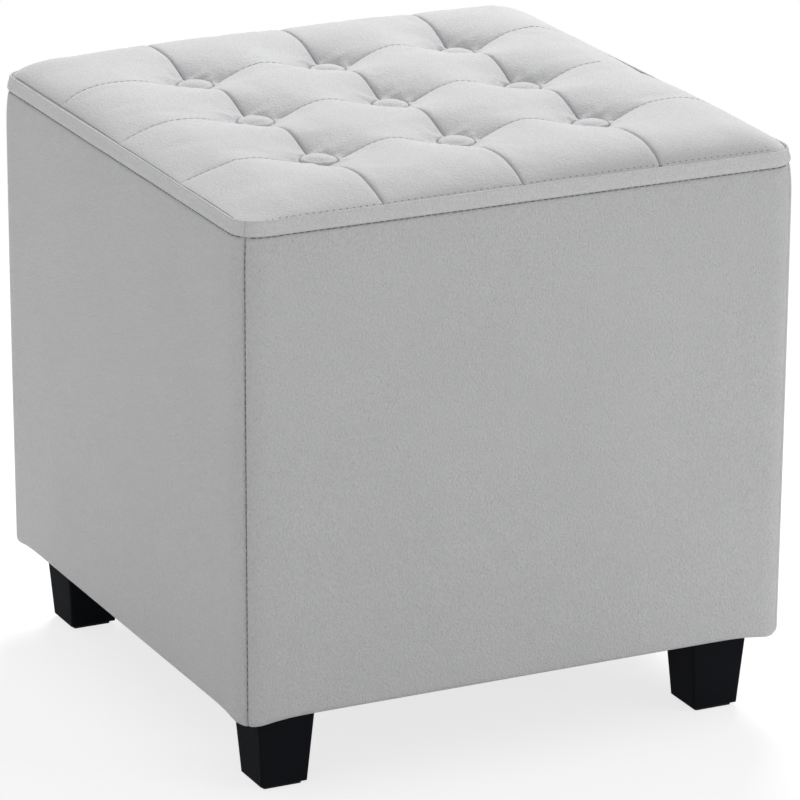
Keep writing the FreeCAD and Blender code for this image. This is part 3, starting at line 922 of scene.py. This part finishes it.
    def pillows(self, x: Points, y: Points, puffed: float) -> Points:
        """Height of the pillows above the band's lower seam, without the sewn creases.

        Args:
            x: The places' x.
            y: The places' y.
            puffed: Share of the pillows' swelling over their seams.

        Returns:
            The height at each place.
        """
        swell_x, out_x, down_x = self.bay(x)
        swell_y, out_y, down_y = self.bay(y)
        crown = self.valley + (self.rise_right * x + self.rise_back * y) / self.spacing
        puff = puffed * (self.puff_across * swell_x + self.puff_along * swell_y)
        crown = crown + puff * (1 - self.outer_flat * np.maximum(out_x, out_y))
        crown = crown - self.corner_drop * out_x * out_y
        from_x, from_y = self.off_lines(x), self.off_lines(y)
        past_button = np.clip(np.hypot(from_x, from_y) - self.mouth_r, 0, None)
        full = crown - (crown - self.mouth) * np.exp(-past_button / self.funnel)
        full = full - self.gully(from_x, from_y, self.long_gully)
        full = full - self.gully(from_y, from_x, self.cross_gully)
        power_x = self.fullness(x, y, self.left_roundness, self.right_roundness)
        power_y = self.fullness(y, x, self.front_roundness, self.back_roundness)
        spread = self.edge_spread * swell_x * swell_y
        fall = (1 - down_x ** (power_x + spread)) * (1 - down_y ** (power_y + spread))
        return self.edge + (full - self.edge) * fall**self.edge_bulge

    def gully(self, across: Points, along: Points, depth: float) -> Points:
        """Depth of the valley that the pull of a button makes in a seam on each side of it.

        Args:
            across: Distance from the seam.
            along: Distance from the button along the seam.
            depth: The valley's greatest depth.

        Returns:
            The depth at each point.
        """
        far = np.abs(along)
        bump = np.exp(-(((far - self.gully_at) / self.gully_reach) ** 2))
        near = smooth_step(self.mouth_r, self.mouth_r + self.gully_start, far)
        return depth * bump * near * np.exp(-np.abs(across) / self.gully_width)

    def fullness(self, across: Points, along: Points, low: Rows, high: Rows) -> Points:
        """How full the outer edge is.

        Args:
            across: Places across two opposite sides, below 0 for the first.
            along: Places along them.
            low: The first side's values at the three rows of buttons.
            high: The other side's values.

        Returns:
            The power of the edge's curve.
        """
        first, other = (np.interp(along, self.lines(), values) for values in (low, high))
        return np.where(across < 0, first, other)

    def creased(self, x: Points, y: Points) -> Points:
        """Depth of the seam creases and the small folds round the buttons."""
        from_x, from_y = self.off_lines(x), self.off_lines(y)
        radius = np.hypot(from_x, from_y)
        off_button = smooth_step(self.seam_start, self.pucker_full, radius)
        long_seam = self.long_seam_depth * np.exp(-np.abs(from_x) / self.long_seam_width)
        long_seam = long_seam + self.slit_depth * np.exp(-np.abs(from_x) / self.slit_width)
        cross_seam = self.cross_seam_depth * np.exp(-np.abs(from_y) / self.cross_seam_width)
        angle = np.arctan2(from_y, from_x)
        near = np.round(x / self.spacing) * 2.3 + np.round(y / self.spacing) * 1.1
        folds = np.sin(9 * angle + near) + 0.6 * np.sin(14 * angle - 2 * near)
        fading = np.exp(-np.clip(radius - self.pucker_full, 0, None) / self.pucker_fade)
        where = smooth_step(self.pucker_start, self.pucker_full, radius) * fading
        return self.pucker * folds * where - (long_seam + cross_seam) * off_button

    def height(self, x: Points, y: Points) -> Points:
        """The whole top surface above the band's lower seam."""
        if self.swell is None:
            surface_z = self.pillows(x, y, 1.0) + self.creased(x, y)
        else:
            swell = self.swell_share * self.cloth.sampled(self.swell, x, y)
            surface_z = self.pillows(x, y, self.puff_before) + swell + self.creased(x, y)
        radius = np.hypot(self.off_lines(x), self.off_lines(y))
        under = 1 - smooth_step(self.button_r, self.button_r + self.button_gap, radius)
        return surface_z + (self.button_seat - surface_z) * under

    def build(self, cloth: Material) -> None:
        """Make the top as one closed padded piece."""
        axis = self.axis()
        grid_x, grid_y = np.meshgrid(axis, axis)
        ring_x, ring_y = self.ringed(grid_x.ravel(), grid_y.ravel())
        top = points_at(*self.rounded(ring_x, ring_y), self.body.z_seam + self.height(ring_x, ring_y))
        count = len(axis)
        rim = rim_of(count)
        verts = np.concatenate([top, points_at(*top[rim, :2].T, self.body.z_seat)])
        ring = len(top) + np.arange(len(rim))
        faces = [*lattice_faces(count, count), *wall_faces(rim, ring), ring]
        piece = mesh_piece("tufted_top", verts, faces, cloth)
        finish_piece(piece, "cover_fabric", "seat_cover", "seat_foam")
        LOG.info("tufted top: %d points", len(verts))


@dataclass
class Buttons:
    """Nine domed buttons covered in the same cloth."""

    top: TuftedTop
    radius: float = 12.0 * MM
    base: float = 11.3 * MM
    rim: float = 1.9 * MM
    dome: float = 3.5 * MM
    segments: int = 56
    tilt: float = 2.0
    folds: int = 11
    fold_depth: float = 0.006

    def profile(self) -> list[tuple[float, float]]:
        """Radius and rise of the button's outline, from the middle of its top to its base."""
        shares = [step / 10 for step in range(9)]
        points = [(self.radius * share, self.rim + self.dome * (1 - share**2.6)) for share in shares]
        shoulder_z = self.rim + self.dome * (1 - 0.8**2.6)
        for degrees in (20, 40, 60, 80, 95):
            turn = math.radians(degrees)
            out = self.radius * (0.8 + 0.2 * math.sin(turn))
            points.append((out, shoulder_z * (0.45 + 0.55 * math.cos(turn))))
        return [*points, (self.radius * 0.97, 0.3 * MM), (self.radius * 0.85, 0.0)]

    def build(self, cloth: Material) -> None:
        """Make the nine buttons as one mesh."""
        (_, crown), *outline = self.profile()
        verts: list[Vector] = []
        faces: list[Sequence[int]] = []
        for number, (x, y) in enumerate(self.top.button_places()):
            lean = Matrix.Rotation(math.radians(self.tilt * math.sin(number * 2.4)), 4, "X")
            lean = lean @ Matrix.Rotation(math.radians(self.tilt * math.cos(number * 1.7)), 4, "Y")
            place = Matrix.Translation((x, y, self.top.body.z_seam + self.base)) @ lean
            middle = len(verts)
            verts.append(place @ Vector((0, 0, crown)))
            for out, rise in outline:
                for i in range(self.segments):
                    angle = 2 * math.pi * i / self.segments
                    fold = math.sin(self.folds * angle + number) * (out / self.radius) ** 6
                    reach = out * (1 + self.fold_depth * fold)
                    verts.append(place @ Vector((reach * math.cos(angle), reach * math.sin(angle), rise)))
            rings = np.arange(middle + 1, len(verts)).reshape(len(outline), self.segments)
            faces += [(middle, start, end) for start, end in zip(rings[0], np.roll(rings[0], -1))]
            for upper, lower in zip(rings, rings[1:]):
                faces += wall_faces(upper, lower)
            faces.append(rings[-1])
        piece = mesh_piece("buttons", np.array([tuple(vert) for vert in verts]), faces, cloth)
        finish_piece(piece, "cover_fabric", "button_covers")
        LOG.info("buttons: %d", len(self.top.button_places()))


@dataclass
class Stitching:
    """Rows of stitches, each a short thread between two holes.

    A stitch's outline gives its places along its length, its thickness there and how much it dips.
    """

    body: Body
    top: TuftedTop
    pitch: float = 4.6 * MM
    stitch: float = 3.2 * MM
    hole: float = 1.3 * MM
    # Length of each stitch of the dark lip line, near the pitch so the line reads as the lip's painted
    # shadow.
    line: float = 4.4 * MM
    first: float = 0.7 * MM
    thread_r: float = 0.24 * MM
    sides: int = 6
    steps: int = 400
    outline: tuple[tuple[float, float, float], ...] = (
        (0.0, 0.35, 1.0),
        (0.12, 0.85, 0.35),
        (0.5, 1.0, 0.0),
        (0.88, 0.85, 0.35),
        (1.0, 0.35, 1.0),
    )
    corner_clear: float = 1.5 * MM
    low_inset: float = 2.3 * MM
    low_below: float = 0.1 * MM
    holes_inset: float = 1.6 * MM
    # Inset of the dark lip line, just behind the lip where its shadow falls: painted shadow.
    lip_shadow_inset: float = 0.9 * MM
    edge_above: float = 0.15 * MM
    upright_inset: float = 1.4 * MM
    upright_clear: tuple[float, float] = (4.0 * MM, 3.0 * MM)
    button_clear: float = 15.0 * MM
    edge_clear: float = 3.0 * MM
    cross_above: float = 0.5 * MM

    def sewn(
        self, name: str, paths: Sequence[Points], thread: Material, sink: float, length: float
    ) -> None:
        """Lay stitches along paths.

        Args:
            name: The piece's name.
            paths: Lines of points that the seams follow.
            thread: The thread's finish.
            sink: How far each stitch's ends dip under its middle.
            length: Length of each stitch.
        """
        verts: list[Vector] = []
        faces: list[Sequence[int]] = []
        for path in paths:
            steps = np.linalg.norm(np.diff(path, axis=0), axis=1)
            run = np.concatenate([[0.0], np.cumsum(steps)])
            count = int(run[-1] / self.pitch)
            starts = (run[-1] - count * self.pitch) / 2 + self.pitch * np.arange(count) + self.first
            for start in starts:
                where = start + np.array([along for along, _, _ in self.outline]) * length
                spots = points_at(*(np.interp(where, run, values) for values in path.T))
                self._add(verts, faces, spots, sink)
        piece = mesh_piece(name, np.array([tuple(vert) for vert in verts]), faces, thread)
        finish_piece(piece, "cover_fabric")
        LOG.info("%s: %d faces", name, len(faces))

    def _add(self, verts: list[Vector], faces: list[Sequence[int]], spots: Points, sink: float) -> None:
        """Add one stitch, a thin tube that narrows into its two holes."""
        along = Vector(spots[-1] - spots[0]).normalized()
        across = along.cross(Vector((0.0, 0.0, 1.0)))
        if across.length < 0.2:
            across = along.cross(Vector((spots[0][1], -spots[0][0], 0.0)))
        across.normalize()
        up = across.cross(along).normalized()
        first = len(verts)
        for spot, (_, size, dip) in zip(spots, self.outline):
            centre = Vector(spot) - up * (sink * dip)
            for i in range(self.sides):
                angle = 2 * math.pi * i / self.sides
                offset = across * math.cos(angle) + up * math.sin(angle)
                verts.append(centre + offset * (self.thread_r * size))
        rings = np.arange(first, len(verts)).reshape(len(self.outline), self.sides)
        for here, there in zip(rings, rings[1:]):
            faces += wall_faces(here, there)
        faces += [rings[0], rings[-1]]

    def four_paths(self, runs: Values, inset: Values, z: Values) -> list[Points]:
        """One path on the front side at an inset and a height, and the same on the other three."""
        path = points_at(*self.body.front_path(runs, inset), z)
        return [quarter_turned(path, quarter) for quarter in range(4)]

    def build(self, thread: Material, pale_thread: Material) -> None:
        """Sew the band's seams, the corner seams and the top's cross seams.

        The band has stitches in its lower seam all round and holes along its lip at the front and the back.
        At the right and the left a dark thread line lies behind the lip as painted shadow of the lip's
        groove.

        Args:
            thread: The grey thread of the seams round the body.
            pale_thread: The paler thread of the top's cross seams.
        """
        end = self.body.half_run - self.corner_clear
        runs = np.linspace(-end, end, self.steps)
        low = self.four_paths(runs, self.low_inset, self.body.z_seam - self.low_below)
        holes, line = (self.edge_paths(*at) for at in ((self.holes_inset, 0), (self.lip_shadow_inset, 1)))
        self.sewn("stitches_band_low", low, thread, 0.5 * MM, self.stitch)
        self.sewn("stitches_band_top", holes, thread, 0.1 * MM, self.hole)
        # Dark thread line behind the lip at the right and the left: painted shadow of the lip's groove.
        self.sewn("lip_shadow_thread", line, thread, 0.1 * MM, self.line)
        self.sewn("stitches_corners", self.corner_paths(), thread, 0.4 * MM, self.stitch)
        self.sewn("stitches_top", self.cross_paths(), pale_thread, 0.4 * MM, self.stitch)

    def edge_paths(self, inset: float, quarter: int) -> list[Points]:
        """Paths on the pillows just inside the band's lip, on two opposite sides.

        Args:
            inset: Distance in from the top's edge.
            quarter: 0 for the front and the back, 1 for the right and the left.

        Returns:
            The two paths.
        """
        line = self.top.half - inset
        end = self.top.half - self.top.corner
        path = points_at(np.linspace(-end, end, self.steps), -line, self.edge_above)
        paths = [quarter_turned(path, turns) for turns in (quarter, quarter + 2)]
        for path in paths:
            path[:, 2] += self.body.z_seam + self.top.height(path[:, 0], path[:, 1])
        return paths

    def corner_paths(self) -> list[Points]:
        """Upright paths in the four corner seams."""
        body = self.body
        low, high = self.upright_clear
        z = np.linspace(body.z_hem + low, body.z_seam - high, 200)
        return self.four_paths(body.half_run, SidePanels(body).inset(z) + self.upright_inset, z)

    def cross_paths(self) -> list[Points]:
        """Paths in the seams that run from left to right over the top."""
        top = self.top
        lines = top.lines()
        ends = [(line - self.button_clear, line + self.button_clear) for line in lines]
        inner = [end for pair in ends for end in pair]
        marks = [-top.half + self.edge_clear, *inner, top.half - self.edge_clear]
        paths = []
        for y in lines:
            for start, end in zip(marks[::2], marks[1::2]):
                x = np.linspace(start, end, 160)
                z = self.body.z_seam + top.height(x, np.full_like(x, y)) + self.cross_above
                paths.append(points_at(x, y, z))
        return paths


@dataclass
class Underside:
    """The dust cover, stretched and stapled under the box."""

    body: Body
    half: float = 181.0 * MM
    thick: float = 0.5 * MM
    sag: float = 2.2 * MM
    ripple: float = 0.25 * MM
    below: float = 0.7 * MM
    steps: int = 48

    def build(self, cloth: Material) -> None:
        """Make the dust cover as a thin closed sheet."""
        axis = np.linspace(-self.half, self.half, self.steps + 1)
        x, y = (grid.ravel() for grid in np.meshgrid(axis, axis))
        u, v = x / self.half, y / self.half
        middle = (1 - u**4) * (1 - v**4)
        ripples = self.ripple * (np.sin(17 * u + 3 * v) + np.sin(15 * v - 2 * u)) * middle
        lower = points_at(x, y, self.body.z_hem - self.below - self.sag * middle + ripples)
        upper = lower + (0.0, 0.0, self.thick)
        sheet = lattice_faces(len(axis), len(axis))
        rim = rim_of(len(axis))
        faces = [*sheet, *(np.array(sheet) + len(lower)), *wall_faces(rim, rim + len(lower))]
        piece = mesh_piece("dust_cloth_sheet", np.concatenate([lower, upper]), faces, cloth)
        finish_piece(piece, "dust_cloth", "dust_cover")


class FrameFinish(Enum):
    """Which finish each of the frame's own pieces gets."""

    BOARD = ("side_board", "seat_board")
    TIMBER = ("corner_post", "foot_block", "base_rail")
    FOOT = ("foot_front", "foot_back")
    PAD = ("foot_pad",)
    STEEL = ("button_shells", "button_backs", "foot_bolts", "insert_nuts", "frame_screws")
    SCREWS = ("seat_board_screws", "hem_staples", "dust_staples")
    TWINE = ("button_twine",)
    ANCHOR = ("twine_anchors",)


class Carcass:
    """The wooden box, the feet and the hardware, which keep the frame's own shapes."""

    def __init__(self) -> None:
        """Make the finishes."""
        steel = Steel().make()
        self.finishes = {
            FrameFinish.BOARD: Wood("frame_board", (0.5, 0.36, 0.21), (0.36, 0.23, 0.12), ply=60.0).make(),
            FrameFinish.TIMBER: Wood("frame_timber", (0.66, 0.49, 0.3), (0.47, 0.31, 0.16)).make(),
            FrameFinish.FOOT: Moulding("foot_plastic", (0.0095, 0.0102, 0.0125), 0.62, 0.015).make(),
            FrameFinish.PAD: Moulding("pad_rubber", (0.01, 0.01, 0.01), 0.75, 0.3, 900.0).make(),
            FrameFinish.STEEL: steel,
            FrameFinish.SCREWS: steel,
            FrameFinish.TWINE: Thread("twine", (0.7, 0.66, 0.56), 900.0, 0.15 * MM).make(),
            FrameFinish.ANCHOR: Moulding("anchor_plastic", (0.6, 0.6, 0.58), 0.45, 0.5).make(),
        }

    def finish_of(self, node: str) -> Material | None:
        """The finish for a node, by the start of its name."""
        return next((self.finishes[kind] for kind in FrameFinish if node.startswith(kind.value)), None)

    def dress(self, nodes: dict[str, Piece]) -> None:
        """Put the finishes on the nodes that still show."""
        dressed = 0
        for name, node in nodes.items():
            finish = self.finish_of(name)
            if node.hide_render or finish is None:
                continue
            for slot in node.material_slots:
                slot.material = finish
            dressed += 1
        LOG.info("frame pieces dressed: %d", dressed)


@dataclass(frozen=True)
class Lamp:
    """A square soft lamp, with its side in metres and its power in watts."""

    name: str
    place: Place
    aim: Place
    size: float
    power: float

    def hang(self) -> None:
        """Add the lamp at its place, turned to the point that it faces."""
        lamp = bpy.data.lights.new(self.name, "AREA")
        lamp.shape = "SQUARE"
        lamp.size = self.size
        lamp.energy = self.power
        holder = bpy.data.objects.new(self.name, lamp)
        bpy.context.scene.collection.objects.link(holder)
        holder.location = self.place
        holder.rotation_mode = "QUATERNION"
        holder.rotation_quaternion = (Vector(self.aim) - Vector(self.place)).to_track_quat("-Z", "Y")


@dataclass
class Studio:
    """The pale floor, the soft lights, the white background and the camera."""

    floor_half: float = 9.0
    floor_colour: Colour = (0.85, 0.85, 0.85)
    floor_tint: Colour = (0.3, 0.3, 0.3)
    floor_lift: float = 0.76
    fade_reach: float = 4.0
    sky: float = 0.545
    lamps: tuple[Lamp, ...] = (
        Lamp("key", (1.35, 2.15, 2.35), (0.0, 0.0, 0.3), 1.1, 90.0),
        Lamp("front_fill", (2.1, -2.2, 0.7), (0.0, -0.1, 0.2), 0.6, 13.5),
        Lamp("left_fill", (-3.0, -0.6, 0.9), (0.0, 0.0, 0.3), 1.4, 5.0),
    )
    camera_place: Place = (-1.4972, -3.0930, 1.3514)
    yaw: float = -25.95
    pitch: float = 18.71
    roll: float = 0.26
    lens: float = 242.27

    def build(self) -> None:
        """Set up the whole studio."""
        self.make_world()
        self.make_floor()
        for lamp in self.lamps:
            lamp.hang()
        self.make_camera()
        bpy.context.scene.view_settings.view_transform = "Standard"

    def seen_directly(self, net: Net) -> Signal:
        """1 for what the camera, a reflection or glass shows, and 0 for light on the object."""
        path = net.node("ShaderNodeLightPath", {}, {})
        camera, glossy, through = (
            Signal(net, path.outputs[f"Is {kind} Ray"]) for kind in ("Camera", "Glossy", "Transmission")
        )
        return (camera + glossy + through).clipped()

    def white(self, net: Net, kind: str, strength: float) -> Signal:
        """A white background or emission of a strength."""
        return net.signal(f"ShaderNode{kind}", {}, {"Color": (1, 1, 1, 1), "Strength": strength})

    def split(self, net: Net, light: Signal, shown: Signal, output: str) -> None:
        """End a net with one shader for light on the object and one for what is seen."""
        mixed = net.signal("ShaderNodeMixShader", {}, {0: self.seen_directly(net), 1: light, 2: shown})
        net.node(output, {}, {"Surface": mixed})

    def make_world(self) -> None:
        """A white background over an even, dimmer sky."""
        world = bpy.data.worlds.new("studio")
        bpy.context.scene.world = world
        world.use_nodes = True
        net = Net(world.node_tree)
        light, shown = (self.white(net, "Background", strength) for strength in (self.sky, 1.0))
        self.split(net, light, shown, "ShaderNodeOutputWorld")

    def make_floor(self) -> None:
        """A pale floor that turns to the background's white away from the object."""
        size = self.floor_half
        mesh = bpy.data.meshes.new("floor")
        corners = [(-size, -size, 0), (size, -size, 0), (size, size, 0), (-size, size, 0)]
        mesh.from_pydata(corners, [], [(0, 1, 2, 3)])
        floor = bpy.data.objects.new("floor", mesh)
        bpy.context.scene.collection.objects.link(floor)
        material, net = new_material("floor")
        mesh.materials.append(material)
        plain = net.signal("ShaderNodeBsdfDiffuse", {}, {"Color": (*self.floor_colour, 1)})
        tinted = net.signal("ShaderNodeBsdfDiffuse", {}, {"Color": (*self.floor_tint, 1)})
        lift = self.white(net, "Emission", self.floor_lift)
        near = net.signal("ShaderNodeAddShader", {}, {0: tinted, 1: lift})
        away = net.signal("ShaderNodeVectorMath", {"operation": "LENGTH"}, {0: net.place()}, "Value")
        fade = net.ramp(away / self.fade_reach, (0.12, 0.0), (0.3, 1.0))
        far = self.white(net, "Emission", 1.0)
        shown = net.signal("ShaderNodeMixShader", {}, {0: fade, 1: near, 2: far})
        self.split(net, plain, shown, "ShaderNodeOutputMaterial")

    def make_camera(self) -> None:
        """Put the camera where the photograph was taken from."""
        data = bpy.data.cameras.new("camera")
        data.lens = self.lens
        data.sensor_width = 36.0
        data.clip_end = 50.0
        camera = bpy.data.objects.new("camera", data)
        bpy.context.scene.collection.objects.link(camera)
        bpy.context.scene.camera = camera
        yaw, pitch, roll = (math.radians(angle) for angle in (self.yaw, self.pitch, self.roll))
        level = math.cos(pitch)
        back = Vector((math.sin(yaw) * level, -math.cos(yaw) * level, math.sin(pitch)))
        right = Vector((0.0, 0.0, 1.0)).cross(back).normalized()
        up = back.cross(right)
        turned_right = math.cos(roll) * right + math.sin(roll) * up
        turned_up = -math.sin(roll) * right + math.cos(roll) * up
        axes = Matrix((turned_right, turned_up, back)).transposed()
        camera.matrix_world = Matrix.Translation(self.camera_place) @ axes.to_4x4()


def main() -> None:
    """Build the footstool's looks and the studio."""
    logging.basicConfig(level=logging.INFO, format="%(name)s: %(message)s")
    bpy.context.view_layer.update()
    body = Body()
    cloth = CoverFabric().make()
    thread = Thread("cover_thread", (0.2, 0.2, 0.21)).make()
    pale_thread = Thread("pale_cover_thread", (0.6, 0.6, 0.61)).make()
    top = TuftedTop(body)
    top.build(cloth)
    Buttons(top).build(cloth)
    # The band's cloth is the top's cloth painted lighter: painted light on the band.
    Band(body).build(CoverFabric("band_fabric_lit_copy", (0.73, 0.73, 0.74), pebble_depth=1.6 * MM).make())
    # The side panels' cloth is the top's cloth painted a little lighter: painted light on the side faces.
    SidePanels(body).build(CoverFabric("panel_fabric_lit_copy", (0.665, 0.665, 0.675), pebble_depth=2.2 * MM).make())
    Stitching(body, top).build(thread, pale_thread)
    Underside(body).build(DustCloth().make())
    Carcass().dress(frame["nodes"])
    Studio().build()


if __name__ == "__main__":
    main()
